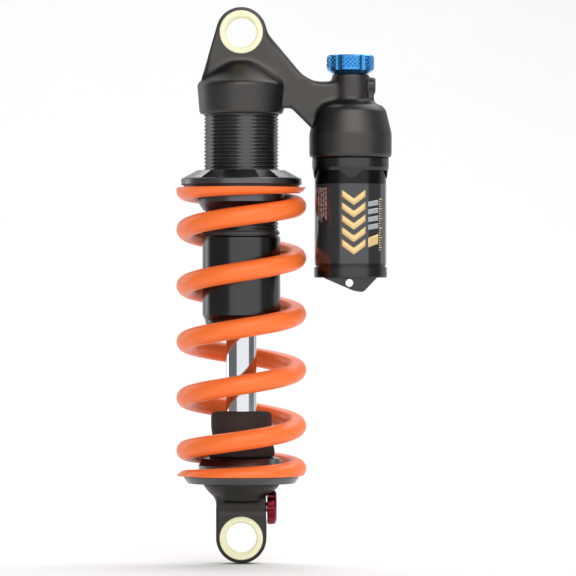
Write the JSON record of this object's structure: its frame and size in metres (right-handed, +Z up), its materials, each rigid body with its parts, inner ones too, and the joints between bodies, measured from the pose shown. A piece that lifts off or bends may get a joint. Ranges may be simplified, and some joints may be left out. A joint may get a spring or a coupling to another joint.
{
  "type": "rear shock",
  "caption": "Coil-over bicycle rear shock with a piggyback reservoir, threaded preload collar, blue compression knob, red rebound knob and flanged bushings in both eyes",
  "frame": {"origin": "centre of the upper eye, midway along its bore", "axes": "+Z up the damper axis from the lower eye to the upper eye, +X from the damper axis to the reservoir axis, +Y along the eye bores"},
  "size_m": [0.0897, 0.0542, 0.231],
  "materials": {
    "cap_finish": "satin warm-grey anodised, forged and machined",
    "black_anodised": "gloss black anodised, machined",
    "grey_anodised": "dark grey anodised, bead-blasted",
    "blue_anodised": "bright blue anodised, knurled",
    "red_anodised": "dark red anodised, fluted",
    "spring_coat": "orange powder coat over spring steel",
    "hard_chrome": "ground and hard-chromed",
    "bushing_polymer": "pale yellow filled polymer",
    "bearing_polymer": "dark filled PTFE",
    "nitrile": "moulded black nitrile",
    "bumper_foam": "dark microcellular polyurethane",
    "steel": "machined or ground bright steel",
    "blued_steel": "black-oxide steel",
    "label_film": null,
    "washer_polymer": "low-friction polymer"
  },
  "bodies": {
    "damper": {"body_cap": "cap_finish", "upper_eye_bushing_front": "bushing_polymer", "upper_eye_bushing_rear": "bushing_polymer", "bleed_screw": "blued_steel", "damper_tube": "black_anodised", "tube_o_ring": "nitrile", "seal_head": "black_anodised", "seal_head_o_ring": "nitrile", "shaft_bushing": "bearing_polymer", "shaft_seal": "nitrile", "shaft_wiper": "nitrile", "coil_spring": "spring_coat", "reservoir_tube": "black_anodised", "reservoir_o_ring": "nitrile", "reservoir_label": "label_film", "reservoir_end_cap": "black_anodised", "end_cap_o_ring": "nitrile", "end_cap_snap_ring": "steel", "nitrogen_valve": "steel", "base_valve_piston": "grey_anodised", "base_valve_shims": "steel", "base_valve_bolt": "steel", "base_valve_nut": "steel", "compression_detent_ball": "steel"},
    "spring_seat": {"thrust_washer": "washer_polymer"},
    "collar": {"preload_collar": "black_anodised", "collar_detent_ball": "steel", "collar_detent_screw": "blued_steel"},
    "compression_adjuster": {"compression_spindle": "steel", "spindle_o_ring": "nitrile", "compression_knob": "blue_anodised", "compression_knob_screw": "blued_steel"},
    "floating_piston_group": {"floating_piston": "grey_anodised", "floating_piston_o_ring": "nitrile", "floating_piston_band": "bearing_polymer"},
    "shaft": {"damper_shaft": "hard_chrome", "piston_nut": "steel", "rebound_shims": "steel", "main_piston": "grey_anodised", "piston_band": "bearing_polymer", "compression_shims": "steel", "top_out_bumper": "nitrile", "bottom_out_bumper": "bumper_foam", "spring_retainer": "black_anodised", "lower_eyelet": "cap_finish", "lower_eye_bushing_front": "bushing_polymer", "lower_eye_bushing_rear": "bushing_polymer", "rebound_detent_ball": "steel"},
    "rebound_adjuster": {"rebound_cam_spindle": "steel", "rebound_knob": "red_anodised", "rebound_knob_screw": "blued_steel"},
    "rebound_needle": {"rebound_rod": "steel"}
  },
  "joints": [
    {"name": "shaft_travel", "type": "slide", "parent": "damper", "child": "shaft", "axis": [0, 0, 1], "range_m": [0, 0.05], "stiffness_N_per_m": 78800, "springref_m": -0.003, "deforming": ["coil_spring", "bottom_out_bumper"]},
    {"name": "preload_travel", "type": "slide", "parent": "damper", "child": "spring_seat", "axis": [0, 0, 1], "range_m": [0, 0.0195]},
    {"name": "collar_turn", "type": "hinge", "parent": "spring_seat", "child": "collar", "pos_m": [0, 0, -0.0604], "axis": [0, 0, 1], "range_deg": [0, 4680]},
    {"name": "compression_turn", "type": "hinge", "parent": "damper", "child": "compression_adjuster", "pos_m": [0.0454, 0, -0.0132], "axis": [0, 0, 1], "range_deg": [-120, 120]},
    {"name": "floating_piston_slide", "type": "slide", "parent": "damper", "child": "floating_piston_group", "axis": [0, 0, 1], "range_m": [-0.0125, 0]},
    {"name": "rebound_turn", "type": "hinge", "parent": "shaft", "child": "rebound_adjuster", "pos_m": [0.0127, 0, -0.1973], "axis": [1, 0, 0], "range_deg": [-150, 150]},
    {"name": "rebound_needle_slide", "type": "slide", "parent": "shaft", "child": "rebound_needle", "axis": [0, 0, 1], "range_m": [-0.00061, 0.00061]}
  ],
  "couplings": [
    {"joint": "preload_travel", "follows": "collar_turn", "m_per_rad": 0.00023873},
    {"joint": "floating_piston_slide", "follows": "shaft_travel", "ratio": -0.2461},
    {"joint": "rebound_needle_slide", "follows": "rebound_turn", "m_per_rad": 0.00022918}
  ]
}
